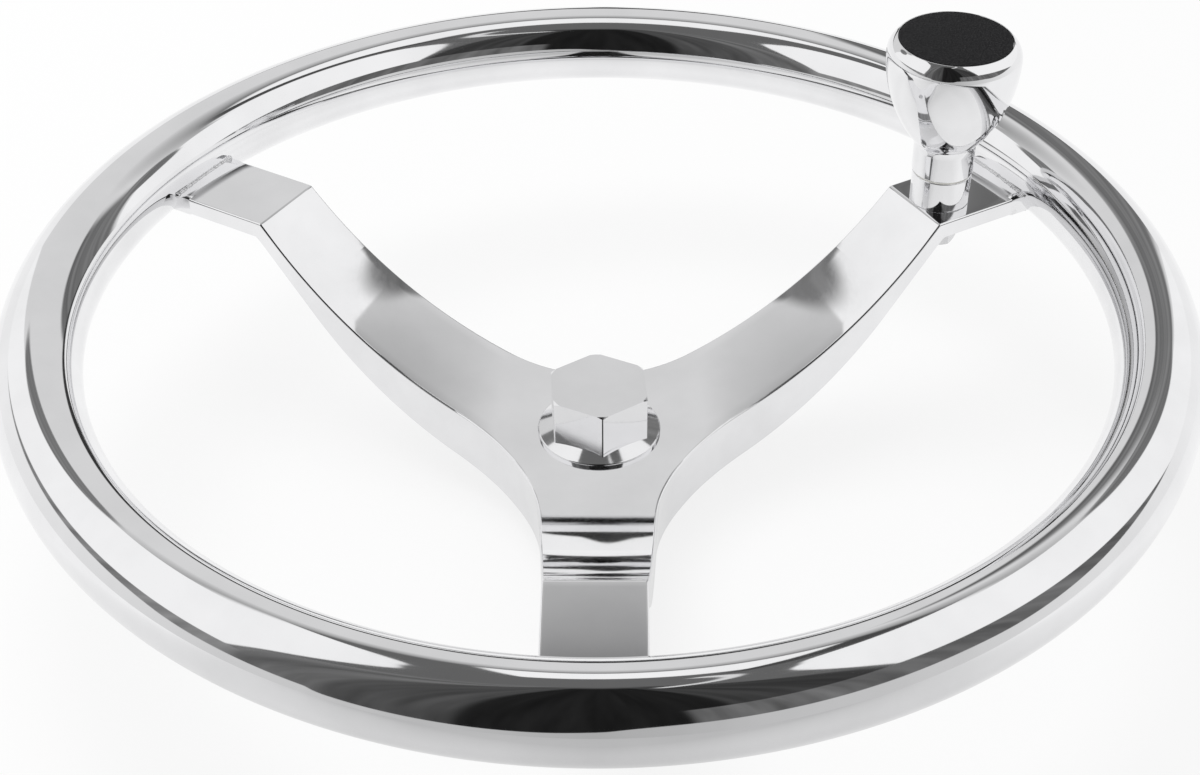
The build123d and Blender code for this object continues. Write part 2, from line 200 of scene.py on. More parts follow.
knob_reach, knob_turn = 141.1405 * mm, radians(30)
knob_x, knob_y = knob_reach * cos(knob_turn), knob_reach * sin(knob_turn)
wheel_axis, knob_at = (0, 0), (knob_x, knob_y)
mirror = (0.87, 0.87, 0.88)
rim_steel = steel_finish("polished_tube", mirror, 0.02, wheel_axis)
cast_steel = steel_finish("polished_casting", mirror, 0.02, wave=0.006)
nut_steel = steel_finish("polished_nut", (0.84, 0.84, 0.85), 0.06, wheel_axis, 1400.0)
knob_steel = steel_finish("polished_knob", mirror, 0.03, knob_at, 1500.0)
collar_steel = steel_finish("turned_steel", (0.86, 0.86, 0.87), 0.04, knob_at, 1800.0)
weld_steel = steel_finish("weld_metal", (0.74, 0.74, 0.75), 0.14, marks=0.1, smears=0.08, wave=0.03)
bolt_steel = steel_finish("bolt_steel", (0.72, 0.72, 0.73), 0.2, knob_at, 2500.0, marks=0.12)
spring_steel = steel_finish("spring_steel", (0.6, 0.6, 0.62), 0.28, knob_at, 2500.0, marks=0.12)
print("steel finishes:", len([m for m in bpy.data.materials if m.use_nodes]))

# %% [markdown]
# ## Black insert
# The insert in the knob is matt black with a fine leathery grain that catches a little light. Two
# kinds of fine noise give the grain's bump, and a coarse one makes its gloss uneven.

# %% Black insert
insert_black, tree, shader = new_finish("black_insert", (0.008, 0.008, 0.009), 0.6)
shader.inputs["Specular IOR Level"].default_value = 0.2
place = add_node(tree, "TexCoord").outputs["Object"]
grain = add_node(tree, "TexNoise", Vector=place, Scale=1500.0, Detail=4.0, Roughness=0.65)
pits = add_node(tree, "TexVoronoi", Vector=place, Scale=1700.0)
patchy = add_node(tree, "TexNoise", Vector=place, Scale=160.0, Detail=2.0)
speck = add_node(tree, "MapRange", Value=grain.outputs["Fac"], From_Min=0.45, From_Max=0.75)
tint = add_node(tree, "Mix", {"data_type": "RGBA"}, _0=speck.outputs[0],
                _6=(0.005, 0.005, 0.006, 1), _7=(0.026, 0.026, 0.027, 1))
link(tree, tint.outputs[2], shader.inputs["Base Color"])
rough = add_node(tree, "MapRange", Value=patchy.outputs["Fac"], To_Min=0.48, To_Max=0.66)
link(tree, rough.outputs[0], shader.inputs["Roughness"])
mixed = calc(tree, "ADD", grain.outputs["Fac"], pits.outputs["Distance"])
bump = add_node(tree, "Bump", Height=mixed, Strength=0.6, Distance=0.12 * mm)
link(tree, bump.outputs[0], shader.inputs["Normal"])

# %% [markdown]
# ## Slide plastic and rubber
# The bushes and the slide washer are bearing plastic, milky and slightly waxy, with a faint cloud
# in its colour. The ring that holds the insert is rubber, whose dull bloom changes its roughness.

# %% Slide plastic and rubber
slide_plastic, tree, shader = new_finish("slide_plastic", (0.86, 0.85, 0.8), 0.4)
place = add_node(tree, "TexCoord").outputs["Object"]
cloud = add_node(tree, "TexNoise", Vector=place, Scale=220.0, Detail=3.0)
tint = add_node(tree, "Mix", {"data_type": "RGBA"}, _0=cloud.outputs["Fac"],
                _6=(0.82, 0.81, 0.75, 1), _7=(0.9, 0.89, 0.85, 1))
link(tree, tint.outputs[2], shader.inputs["Base Color"])
ring_rubber, tree, shader = new_finish("seal_rubber", (0.02, 0.02, 0.02), 0.6)
place = add_node(tree, "TexCoord").outputs["Object"]
bloom = add_node(tree, "TexNoise", Vector=place, Scale=700.0, Detail=4.0)
rough = add_node(tree, "MapRange", Value=bloom.outputs["Fac"], To_Min=0.5, To_Max=0.75)
link(tree, rough.outputs[0], shader.inputs["Roughness"])
print("other finishes:", insert_black.name, slide_plastic.name, ring_rubber.name)

# %% [markdown]
# ## From shape to piece
# Every new piece is drawn as a bmesh, then becomes an object at the origin with its place in its
# mesh. Faces shade smoothly, except across edges that are really sharp. The weighted normals keep
# the flat faces flat in their reflections, right up to the rounded edges beside them.

# %% Finishing a piece
def add_piece(name, shape, finish, body, stands_for=(), sharp=32):
    bmesh.ops.remove_doubles(shape, verts=shape.verts, dist=0.5e-6)
    bmesh.ops.recalc_face_normals(shape, faces=shape.faces)
    mesh = bpy.data.meshes.new(name)
    shape.to_mesh(mesh)
    shape.free()
    mesh.shade_smooth()
    mesh.set_sharp_from_angle(angle=radians(sharp))
    mesh.materials.append(finish)
    piece = bpy.data.objects.new(name, mesh)
    scene.collection.objects.link(piece)
    even = piece.modifiers.new("even_normals", "WEIGHTED_NORMAL")
    even.keep_sharp = True
    even.weight = 50
    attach(piece, body)
    if stands_for:
        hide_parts(*stands_for)
    print(name, len(mesh.polygons), "faces")
    return piece


# %% [markdown]
# ## Rim
# The rim is one length of tube, bent to a full ring, welded and ground so that no seam shows. A
# torus is only a circle spun round an axis, so a circle is stood up at the tube's place and spun.

# %% Rim
rim_radius, tube_radius, rim_height = 182.7 * mm, 14.3 * mm, 86 * mm
shape = bmesh.new()
bmesh.ops.create_circle(shape, segments=72, radius=tube_radius)
bmesh.ops.rotate(shape, verts=shape.verts, cent=(0, 0, 0), matrix=Matrix.Rotation(pi / 2, 3, "X"))
bmesh.ops.translate(shape, verts=shape.verts, vec=(rim_radius, 0, rim_height))
bmesh.ops.spin(shape, geom=shape.verts[:] + shape.edges[:], cent=(0, 0, 0), axis=(0, 0, 1),
               angle=2 * pi, steps=400, use_merge=True)
add_piece("rim", shape, rim_steel, "wheel", ["rim_tube"])

# %% [markdown]
# ## Spider
# Hub and arms are one casting, with flat upright sides, a crease where each arm turns into its
# flat tab, and a hollow back. Each arm starts as a plain block that is sliced across at many
# stations. Its points are then drawn out to the arm's lines: the top line, the lower line and the
# half width at each station, which are the same arcs as in the solid. Sliced this way, the curved
# top gets even, narrow faces, and its reflections stay clean.

# %% The arm's lines
tab_top, tab_bottom, tab_length = 84 * mm, 77.5 * mm, 38.4 * mm
tab_reach = rim_radius - sqrt(tube_radius**2 - (rim_height - tab_top) ** 2)
crease = tab_reach - tab_length
hub_height, half_width, flare, slope = 32 * mm, 15.2 * mm, 0.05, radians(46)
straight_start = crease - 6 * mm * cos(slope)
arc_radius = (tab_top - hub_height - 6 * mm * sin(slope)) / (1 - cos(slope))
arc_start = straight_start - arc_radius * sin(slope)
lower_radius, lower_floor = 135 * mm, 11 * mm
lower_crease = crease + (tab_top - tab_bottom) * tan(slope / 2)
lower_end = lower_crease - (tab_bottom - lower_floor - lower_radius * (1 - cos(slope))) / tan(slope)
lower_start = lower_end - lower_radius * sin(slope)
print("crease at", round(crease / mm, 2), "arc radius", round(arc_radius / mm, 2))


def top_line(x, drop=0.0):
    """Height of the arm's top face at x, or of the surface that lies drop under it."""
    if x < arc_start:
        return hub_height - drop
    if x < straight_start + drop * sin(slope):
        return hub_height + arc_radius - sqrt((arc_radius + drop) ** 2 - (x - arc_start) ** 2)
    return min(tab_top - drop, tab_top - (crease - x) * tan(slope) - drop / cos(slope))


def lower_line(x):
    if x < lower_start:
        return lower_floor
    if x < lower_end:
        return lower_floor + lower_radius - sqrt(lower_radius**2 - (x - lower_start) ** 2)
    return min(tab_bottom, tab_bottom - (lower_crease - x) * tan(slope))


# %% [markdown]
# Seen from above, neighbouring arms meet in a fillet of 70 mm radius, and from there each arm
# narrows slightly towards its crease.

# %% The arm's half width
fillet_radius = 70 * mm
lean = sqrt(1 + flare**2)
fillet_reach = (fillet_radius * lean + half_width + flare * crease) / (sin(pi / 3) + flare * cos(pi / 3))
fillet_middle = (fillet_reach * cos(pi / 3), fillet_reach * sin(pi / 3))


def half_width_at(x, inset=0.0):
    radius = fillet_radius + inset
    if x < fillet_middle[0] - radius * flare / lean:
        return fillet_middle[1] - sqrt(max(0.0, radius**2 - (x - fillet_middle[0]) ** 2))
    return half_width - inset * lean + max(0.0, crease - x) * flare


def stations_between(start, end):
    """Places to slice the arm: closely along its arcs, and exactly at its creases."""
    along_arc = [arc_start + arc_radius * sin(slope * i / 64) for i in range(65)]
    marks = along_arc + [lower_end, crease, lower_crease] + [crease + tab_length * i / 6 for i in range(1, 6)]
    return [start] + sorted(x for x in marks if start + 0.2 * mm < x < end - 0.2 * mm) + [end]


print("stations along an arm:", len(stations_between(fillet_middle[0] - fillet_radius / 2, tab_reach)))


# %% [markdown]
# One block is drawn to these lines. Three turned copies meet along the edges of the hub, where
# their doubles merge, and the two openings that are left, over and under the hub, are filled.

# %% Drawing the three-arm star
def draw_star(inset, drop, end, deep=None):
    """A closed star of three arms. deep is the height of a flat underside instead of the lower line."""
    shape = bmesh.new()
    start = fillet_middle[0] - (fillet_radius + inset) * cos(pi / 3)
    bmesh.ops.create_cube(shape, size=1.0)
    stations = stations_between(start, end)
    bmesh.ops.translate(shape, verts=shape.verts, vec=(0.5, 0, 0.5))
    bmesh.ops.scale(shape, verts=shape.verts, vec=(end - start, 2, 1))
    bmesh.ops.translate(shape, verts=shape.verts, vec=(start, 0, 0))
    for x in stations[1:-1]:
        bmesh.ops.bisect_plane(shape, geom=shape.verts[:] + shape.edges[:] + shape.faces[:], dist=1e-8,
                               plane_co=(x, 0, 0), plane_no=(1, 0, 0))
    for y in (-0.75, -0.5, -0.25, 0, 0.25, 0.5, 0.75):
        bmesh.ops.bisect_plane(shape, geom=shape.verts[:] + shape.edges[:] + shape.faces[:], dist=1e-8,
                               plane_co=(0, y, 0), plane_no=(0, 1, 0))
    for v in shape.verts:
        x, side, level = v.co
        low = lower_line(x) if deep is None else deep
        v.co.y = side * half_width_at(x, inset)
        v.co.z = low + level * (top_line(x, drop) - low)
        if deep is None and x > end - 0.01 * mm:
            inside = tube_radius - 0.3 * mm
            wall = rim_radius - sqrt(inside**2 - (v.co.z - rim_height) ** 2)
            v.co.x = sqrt(wall**2 - v.co.y**2)
    inner = [f for f in shape.faces if all(abs(v.co.x - start) < 1e-7 for v in f.verts)]
    bmesh.ops.delete(shape, geom=inner, context="FACES")
    return shape


def close_star(shape):
    """Adds the two other arms and fills the hub's top and underside."""
    arm = shape.verts[:] + shape.edges[:] + shape.faces[:]
    for turned in (120, 240):
        copy = bmesh.ops.duplicate(shape, geom=arm)["geom"]
        verts = [v for v in copy if isinstance(v, bmesh.types.BMVert)]
        bmesh.ops.rotate(shape, verts=verts, cent=(0, 0, 0), matrix=Matrix.Rotation(radians(turned), 3, "Z"))
    bmesh.ops.rotate(shape, verts=shape.verts, cent=(0, 0, 0), matrix=Matrix.Rotation(radians(30), 3, "Z"))
    bmesh.ops.remove_doubles(shape, verts=shape.verts, dist=2e-6)
    open_edges = [e for e in shape.edges if e.is_boundary]
    middle = sum(v.co.z for e in open_edges for v in e.verts) / (2 * len(open_edges))
    over = [e for e in open_edges if e.verts[0].co.z > middle]
    under = [e for e in open_edges if e.verts[0].co.z < middle]
    for loop in (over, under):
        bmesh.ops.edgeloop_fill(shape, edges=loop)
    bmesh.ops.recalc_face_normals(shape, faces=shape.faces)
    return shape


# %% [markdown]
# A casting that has been ground and buffed has no knife edges. Every sharp edge of the star gets
# a small rounding before the hollow is cut, and this rounding is what draws the fine dark line
# along the arms.

# %% The star with its edges rounded
star = close_star(draw_star(0.0, 0.0, tab_reach))
sharp_edges = [e for e in star.edges if len(e.link_faces) == 2 and e.calc_face_angle(0) > radians(25)
               and max(v.co.xy.length for v in e.verts) < tab_reach + 0.1 * mm]
bmesh.ops.bevel(star, geom=sharp_edges, offset=0.8 * mm, offset_type="OFFSET", segments=4, profile=0.5,
                affect="EDGES", clamp_overlap=True, material=-1)
print("open edges left:", len([e for e in star.edges if not e.is_manifold]), "faces:", len(star.faces))

# %% [markdown]
# The hollow back, the boss, the tapered bore with its keyway and the hole for the knob's bolt are
# cut or joined with exact Booleans, in the order in which the real one is cast and machined.

# %% Boolean helper
def carve(body_mesh, tool_shape, way):
    """Returns body_mesh after one exact Boolean with tool_shape."""
    bmesh.ops.recalc_face_normals(tool_shape, faces=tool_shape.faces)
    tool_mesh = bpy.data.meshes.new("tool")
    tool_shape.to_mesh(tool_mesh)
    tool_shape.free()
    body = bpy.data.objects.new("body", body_mesh)
    tool = bpy.data.objects.new("tool", tool_mesh)
    for o in (body, tool):
        scene.collection.objects.link(o)
    cut = body.modifiers.new("cut", "BOOLEAN")
    cut.operation, cut.solver, cut.object = way, "EXACT", tool
    bpy.context.view_layer.update()
    made = bpy.data.meshes.new_from_object(body.evaluated_get(bpy.context.evaluated_depsgraph_get()))
    for o in (body, tool):
        bpy.data.objects.remove(o)
    bpy.data.meshes.remove(tool_mesh)
    return made


def turned_solid(points, steps=128, centre=(0, 0)):
    """A closed solid of revolution, from (radius, height) points that start and end on the axis."""
    shape = bmesh.new()
    verts = [shape.verts.new((r, 0, z)) for r, z in points]
    for a, b in zip(verts, verts[1:]):
        shape.edges.new((a, b))
    bmesh.ops.spin(shape, geom=verts + shape.edges[:], cent=(0, 0, 0), axis=(0, 0, 1),
                   angle=2 * pi, steps=steps, use_merge=True)
    bmesh.ops.remove_doubles(shape, verts=shape.verts, dist=1e-7)
    bmesh.ops.translate(shape, verts=shape.verts, vec=(centre[0], centre[1], 0))
    bmesh.ops.recalc_face_normals(shape, faces=shape.faces)
    return shape


# %% Hollow back, boss, bore and bolt hole
spider_mesh = bpy.data.meshes.new("spider_body")
star.to_mesh(spider_mesh)
star.free()
hollow = close_star(draw_star(3.2 * mm, 4 * mm, crease - 7 * mm, deep=-5 * mm))
spider_mesh = carve(spider_mesh, hollow, "DIFFERENCE")
boss = turned_solid([(0, 0), (19 * mm, 0), (20 * mm, 1 * mm), (20 * mm, 30 * mm), (0, 30 * mm)])
spider_mesh = carve(spider_mesh, boss, "UNION")
seat = turned_solid([(0, 32 * mm), (21.6 * mm, 32 * mm), (21.6 * mm, 36 * mm), (0, 36 * mm)])
spider_mesh = carve(spider_mesh, seat, "DIFFERENCE")
taper = turned_solid([(0, -1 * mm), (9.567 * mm, -1 * mm), (8.15 * mm, 33 * mm), (0, 33 * mm)])
spider_mesh = carve(spider_mesh, taper, "DIFFERENCE")
keyway = bmesh.new()
bmesh.ops.create_cube(keyway, size=1.0)
bmesh.ops.scale(keyway, verts=keyway.verts, vec=(4.76 * mm, 11.1 * mm, 36 * mm))
bmesh.ops.translate(keyway, verts=keyway.verts, vec=(0, 5.55 * mm, 16 * mm))
spider_mesh = carve(spider_mesh, keyway, "DIFFERENCE")
bolt_clearance = 4.2 * mm
bolt_hole = turned_solid([(0, 70 * mm), (bolt_clearance, 70 * mm), (bolt_clearance, 90 * mm), (0, 90 * mm)],
                         48, knob_at)
spider_mesh = carve(spider_mesh, bolt_hole, "DIFFERENCE")
shape = bmesh.new()
shape.from_mesh(spider_mesh)
add_piece("spider_casting", shape, cast_steel, "wheel", ["spider"])

# %% [markdown]
# ## Turned pieces
# Knob, collar, washers and cap are turned on a lathe. Their profile is drawn with a pen that makes
# straight lines by extruding a point and arcs by spinning it, sharp corners of the profile are
# rounded with a bevel on its points, and the profile is spun round the knob's axis.

# %% A pen for profiles
def pen_start(radius, height):
    shape = bmesh.new()
    return shape, shape.verts.new((radius, 0, height))


def pen_line(shape, point, *places):
    """Draws straight lines through these (radius, height) places."""
    for radius, height in places:
        point = bmesh.ops.extrude_vert_indiv(shape, verts=[point])["verts"][0]
        point.co = (radius, 0, height)
    return point


def pen_arc(shape, point, centre, turn, steps=16):
    """Draws an arc round centre, upwards for a positive turn in degrees."""
    made = bmesh.ops.spin(shape, geom=[point], cent=(centre[0], 0, centre[1]), axis=(0, -1, 0),
                          angle=radians(turn), steps=steps)
    return [v for v in made["geom_last"] if isinstance(v, bmesh.types.BMVert)][0]


def pen_close(shape, first, last):
    shape.edges.new((last, first))


def round_corners(shape, corners, radius, segments=4):
    """Rounds the profile's points that lie at these (radius, height) places."""
    picked = [v for v in shape.verts if any((v.co - Vector((r, 0, z))).length < 1e-6 for r, z in corners)]
    bmesh.ops.bevel(shape, geom=picked, offset=radius, segments=segments, profile=0.5,
                    affect="VERTICES", material=-1)


def spin_profile(shape, centre=(0, 0), base=0.0, steps=160):
    bmesh.ops.spin(shape, geom=shape.verts[:] + shape.edges[:], cent=(0, 0, 0), axis=(0, 0, 1),
                   angle=2 * pi, steps=steps, use_merge=True)
    bmesh.ops.remove_doubles(shape, verts=shape.verts, dist=1e-7)
    bmesh.ops.translate(shape, verts=shape.verts, vec=(centre[0], centre[1], base))
    return shape


# %% [markdown]
# ## Knob
# The knob body is a goblet: a straight neck, a bowl whose side stands upright at the lip, and a
# rounded lip that rolls in over the rebate for the black insert. Inside it has a bore for two
# bushes and a chamber for the bolt's head, as in the solid.

# %% Knob body
foot, neck, neck_top = 12.4 * mm, 10.9 * mm, 24 * mm
lip, lip_height, knob_height, rebate = 23.35 * mm, 58 * mm, 64.4 * mm, 19.65 * mm
shape, first = pen_start(7 * mm, foot + 1.2 * mm)
point = pen_line(shape, first, (9.15 * mm, foot + 1.2 * mm), (9.15 * mm, foot), (neck, foot), (neck, neck_top))
bowl_radius = ((lip - neck) ** 2 + (lip_height - neck_top) ** 2) / (2 * (lip - neck))
bowl_turn = degrees(asin((lip_height - neck_top) / bowl_radius))
point = pen_arc(shape, point, (lip - bowl_radius, lip_height), bowl_turn, 40)
roll_radius = ((lip - rebate) ** 2 + (knob_height - lip_height) ** 2) / (2 * (lip - rebate))
roll_turn = degrees(asin((knob_height - lip_height) / roll_radius))
point = pen_arc(shape, point, (lip - roll_radius, lip_height), roll_turn, 20)
point = pen_line(shape, point, (rebate, 62 * mm), (17 * mm, 62 * mm), (17 * mm, 54 * mm), (12 * mm, 54 * mm),
                 (12 * mm, 38 * mm), (7 * mm, 38 * mm))
pen_close(shape, first, point)
round_corners(shape, [(neck, foot), (rebate, knob_height)], 0.35 * mm)
round_corners(shape, [(neck, neck_top)], 2.5 * mm, 8)
spin_profile(shape, knob_at, tab_top, 192)
add_piece("knob_goblet", shape, knob_steel, "knob", ["knob_body"])

# %% [markdown]
# The insert lies in its rebate with a slightly crowned face and a softly rounded edge, so a fine
# shadow line shows between it and the lip.

# %% Black insert
shape, first = pen_start(0, 57 * mm)
point = pen_line(shape, first, (16.85 * mm, 57 * mm), (16.85 * mm, 58.33 * mm), (15.2 * mm, 58.33 * mm),
                 (15.2 * mm, 60.67 * mm), (16.85 * mm, 60.67 * mm), (16.85 * mm, 62 * mm), (19.5 * mm, 62 * mm),
                 (19.5 * mm, 64.4 * mm))
crown_radius = ((19.5 * mm) ** 2 + (0.3 * mm) ** 2) / (2 * 0.3 * mm)
point = pen_arc(shape, point, (0, 64.7 * mm - crown_radius), degrees(asin(19.5 * mm / crown_radius)), 10)
round_corners(shape, [(19.5 * mm, 64.4 * mm)], 0.5 * mm)
spin_profile(shape, knob_at, tab_top, 160)
add_piece("knob_insert", shape, insert_black, "knob", ["knob_cap"])

# %% [markdown]
# The collar under the knob is a short turned sleeve. Its two outer edges are rounded, so its seams
# with the tab and the knob show as fine lines.

# %% Collar under the knob
collar_radius, collar_height = 10.6 * mm, 11.6 * mm
shape, first = pen_start(bolt_clearance, 0)
point = pen_line(shape, first, (collar_radius, 0), (collar_radius, collar_height),
                 (bolt_clearance, collar_height))
pen_close(shape, first, point)
round_corners(shape, [(collar_radius, 0), (collar_radius, collar_height)], 0.35 * mm, 3)
spin_profile(shape, knob_at, tab_top, 160)
add_piece("knob_collar", shape, collar_steel, "wheel", ["base_collar"])

# %% [markdown]
# ## Nuts
# A hexagon nut starts as a six-sided prism. Its upright edges get a small rounding. Its corners are
# cut by a cone, which a Boolean with a turned solid does as the lathe does on the real one. The
# centre nut carries its own flange, and its bore stops under the closed top.

# %% Hexagon with coned corners
def hexagon(across, low, high, corner_cut, both_ends, turn, centre=(0, 0), edge=0.35 * mm):
    corner = across / 2 / cos(pi / 6)
    shape = bmesh.new()
    bmesh.ops.create_cone(shape, cap_ends=True, segments=6, radius1=corner, radius2=corner, depth=high - low)
    upright = [e for e in shape.edges if abs(e.verts[0].co.z - e.verts[1].co.z) > 1e-5]
    bmesh.ops.bevel(shape, geom=upright, offset=edge, segments=3, profile=0.5, affect="EDGES", material=-1)
    bmesh.ops.rotate(shape, verts=shape.verts, cent=(0, 0, 0), matrix=Matrix.Rotation(radians(turn), 3, "Z"))
    bmesh.ops.translate(shape, verts=shape.verts, vec=(centre[0], centre[1], (low + high) / 2))
    mesh = bpy.data.meshes.new("hexagon")
    shape.to_mesh(mesh)
    shape.free()
    drop = corner_cut / sqrt(3)
    if both_ends:
        lower = [(0, low), (corner - corner_cut, low), (corner, low + drop)]
    else:
        lower = [(0, low - mm), (corner, low - mm)]
    cup = turned_solid(lower + [(corner, high - drop), (corner - corner_cut, high), (0, high)], 96, centre)
    return carve(mesh, cup, "INTERSECT")


# %% [markdown]
# The photograph shows no mirror image of the nut in the polished arms around it, so reflections
# don't see this piece. A real nut would show there.

# %% Centre nut
nut_across, nut_top, nut_turn, flange = 32 * mm, hub_height + 20.5 * mm, 4.5, 21.25 * mm
nut_mesh = hexagon(nut_across, hub_height + 1 * mm, nut_top, 1.0 * mm, False, nut_turn)
shape, first = pen_start(0, hub_height)
point = pen_line(shape, first, (flange, hub_height), (flange, hub_height + 2.6 * mm),
                 (16 * mm, hub_height + 4.6 * mm), (0, hub_height + 4.6 * mm))
round_corners(shape, [(flange, hub_height), (flange, hub_height + 2.6 * mm)], 0.5 * mm)
nut_mesh = carve(nut_mesh, spin_profile(shape, steps=160), "UNION")
mouth, core = 7.95 * mm, 7.175 * mm
bore = turned_solid([(0, 31 * mm), (mouth, 31 * mm), (mouth, 32 * mm), (core, 32.8 * mm), (core, 48 * mm),
                     (0, 51.6 * mm)], 64)
nut_mesh = carve(nut_mesh, bore, "DIFFERENCE")
shape = bmesh.new()
shape.from_mesh(nut_mesh)
nut = add_piece("shaft_nut", shape, nut_steel, "wheel", ["centre_nut"], sharp=20)
nut.visible_glossy = False

# %% [markdown]
# ## Under the tab
# The knob's bolt goes through the tab and is held below it by a flat washer, a split washer and a
# nut. The nut is a small hexagon with a hole, coned at both ends. The flat washer is turned.

# %% Nut and flat washer
washer_radius, washer_foot, nut_face, nut_foot = 8 * mm, -1.6 * mm, 3.6 * mm, 10.1 * mm
nut_mesh = hexagon(13 * mm, tab_bottom - nut_foot, tab_bottom - nut_face, 0.9 * mm, True, 30, knob_at, 0.2 * mm)
hole = turned_solid([(0, 60 * mm), (4 * mm, 60 * mm), (4 * mm, 80 * mm), (0, 80 * mm)], 48, knob_at)
shape = bmesh.new()
shape.from_mesh(carve(nut_mesh, hole, "DIFFERENCE"))
add_piece("bolt_nut", shape, bolt_steel, "wheel", ["knob_nut"], sharp=20)
shape, first = pen_start(bolt_clearance, 0)
point = pen_line(shape, first, (washer_radius, 0), (washer_radius, washer_foot), (bolt_clearance, washer_foot))
pen_close(shape, first, point)
round_corners(shape, [(washer_radius, 0), (washer_radius, washer_foot)], 0.25 * mm, 3)
spin_profile(shape, knob_at, tab_bottom, 96)
add_piece("flat_washer", shape, bolt_steel, "wheel", ["tab_washer"])

# %% [markdown]
# The split washer is a bar bent almost to a ring. A filled cross section is spun through less than
# a full turn, which leaves the gap, and the two end faces close it.

# %% Split lock washer
ring_radius, ring_foot, half_gap = 7.2 * mm, -3.6 * mm, 0.8 / 5.7
shape, first = pen_start(bolt_clearance, washer_foot)
point = pen_line(shape, first, (ring_radius, washer_foot), (ring_radius, ring_foot),
                 (bolt_clearance, ring_foot))
pen_close(shape, first, point)
round_corners(shape, [(ring_radius, washer_foot), (ring_radius, ring_foot)], 0.2 * mm, 2)
bmesh.ops.contextual_create(shape, geom=shape.edges[:])
bmesh.ops.rotate(shape, verts=shape.verts, cent=(0, 0, 0), matrix=Matrix.Rotation(half_gap, 3, "Z"))
moving_end = bmesh.ops.duplicate(shape, geom=shape.verts[:] + shape.edges[:] + shape.faces[:])["geom"]
bmesh.ops.spin(shape, geom=moving_end, cent=(0, 0, 0), axis=(0, 0, 1), angle=2 * pi - 2 * half_gap, steps=80)
bmesh.ops.remove_doubles(shape, verts=shape.verts, dist=1e-7)
bmesh.ops.translate(shape, verts=shape.verts, vec=(knob_x, knob_y, tab_bottom))
add_piece("split_washer", shape, spring_steel, "wheel", ["lock_washer"])

# %% [markdown]
# The shoulder bolt is turned in one piece: core, shank, shoulder and head. Its thread is a small
# ridge section that climbs by one pitch for each turn, which spin does with its dvec.

# %% Shoulder bolt with its thread
pitch, turns, head_radius, head_top = 1.25 * mm, 11, 8 * mm, 48.35 * mm
outline = ((2.9, -19.1), (3.45, -18.5), (3.45, -4), (4, -3), (4, 11.6), (5, 11.6), (5, 40.35), (8, 40.35))
shape, first = pen_start(0, -19.1 * mm)
point = pen_line(shape, first, *((radius * mm, height * mm) for radius, height in outline),
                 (head_radius, head_top), (0, head_top))
round_corners(shape, [(head_radius, head_top)], 0.6 * mm)
spin_profile(shape, wheel_axis, 0, 64)
ridge_outline = ((3.4, -18.75), (3.98, -18.28), (3.98, -18.12), (3.4, -17.65))
ridge = [shape.verts.new((radius * mm, 0, height * mm)) for radius, height in ridge_outline]
ridge_face = shape.faces.new(ridge)
bmesh.ops.spin(shape, geom=ridge + list(ridge_face.edges) + [ridge_face], cent=(0, 0, 0), axis=(0, 0, 1),
               dvec=(0, 0, pitch / 36), angle=2 * pi * turns, steps=36 * turns)
bmesh.ops.translate(shape, verts=shape.verts, vec=(knob_x, knob_y, tab_top))
add_piece("bolt_thread", shape, bolt_steel, "wheel", ["shoulder_bolt"])

# %% [markdown]
# ## Weld beads
# Each tab is welded to the tube along its upper and lower edge. The beads are dressed almost flush
# and show as a narrow line with a rougher blob at each corner. Each one is a circle swept along the
# joint with spin, then every ring of it swells or shrinks: ripples along the way, blobs near the
# ends, and closed tips.

# %% Weld beads
def add_bead(shape, angle, radius, height, size, seed, past=0.0035):
    steps, half = 72, asin(half_width / radius) + past
    ring = bmesh.ops.create_circle(shape, segments=14, radius=size)["verts"]
    bmesh.ops.rotate(shape, verts=ring, cent=(0, 0, 0), matrix=Matrix.Rotation(pi / 2, 3, "X"))
    bmesh.ops.translate(shape, verts=ring, vec=(radius, 0, height))
    bmesh.ops.rotate(shape, verts=ring, cent=(0, 0, 0), matrix=Matrix.Rotation(-half, 3, "Z"))
    edges = list({e for v in ring for e in v.link_edges})
    before = set(shape.verts) - set(ring)
    bmesh.ops.spin(shape, geom=ring + edges, cent=(0, 0, 0), axis=(0, 0, 1), angle=2 * half, steps=steps)
    fresh = [v for v in shape.verts if v not in before]
    for v in fresh:
        place = atan2(v.co.y, v.co.x)
        way = place / half
        core = Vector((radius * cos(place), radius * sin(place), height))
        swell = 1 + 0.16 * sin(place * 900 + seed) + 0.5 * noise.noise(Vector((place * 260, seed, height * 90)))
        swell += 0.9 * max(0.0, abs(way) - 0.88) / 0.12
        tip = sqrt(max(0.0, 1 - max(0.0, (abs(way) - 0.93) / 0.07) ** 2))
        v.co = core + (v.co - core) * swell * tip
    bmesh.ops.rotate(shape, verts=fresh, cent=(0, 0, 0), matrix=Matrix.Rotation(radians(angle), 3, "Z"))


lower_reach = rim_radius - sqrt(tube_radius**2 - (rim_height - tab_bottom) ** 2)
shape = bmesh.new()
for index, angle in enumerate((-90, 30, 150)):
    add_bead(shape, angle, tab_reach - 0.15 * mm, tab_top, 0.55 * mm, index * 3.7)
    add_bead(shape, angle, lower_reach - 0.2 * mm, tab_bottom - 0.1 * mm, 0.9 * mm, index * 5.1 + 1, -0.006)
add_piece("weld_beads", shape, weld_steel, "wheel", ["spoke_welds"], sharp=80)

# %% [markdown]
# ## Hidden solids that stay as they are
# The bushes, the disc spring and the rubber ring lie inside the knob, and the slide washer under
# it. Their solids are right as they are and only get their finishes.

# %% Finishes of the hidden solids
for node, finish in (("thrust_washer", slide_plastic), ("lower_bush", slide_plastic),
                     ("upper_bush", slide_plastic), ("disc_spring", spring_steel),
                     ("cap_ring", ring_rubber)):
    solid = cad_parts[node]
    solid.data.materials.clear()
    solid.data.materials.append(finish)
    print(node, "is", finish.name)
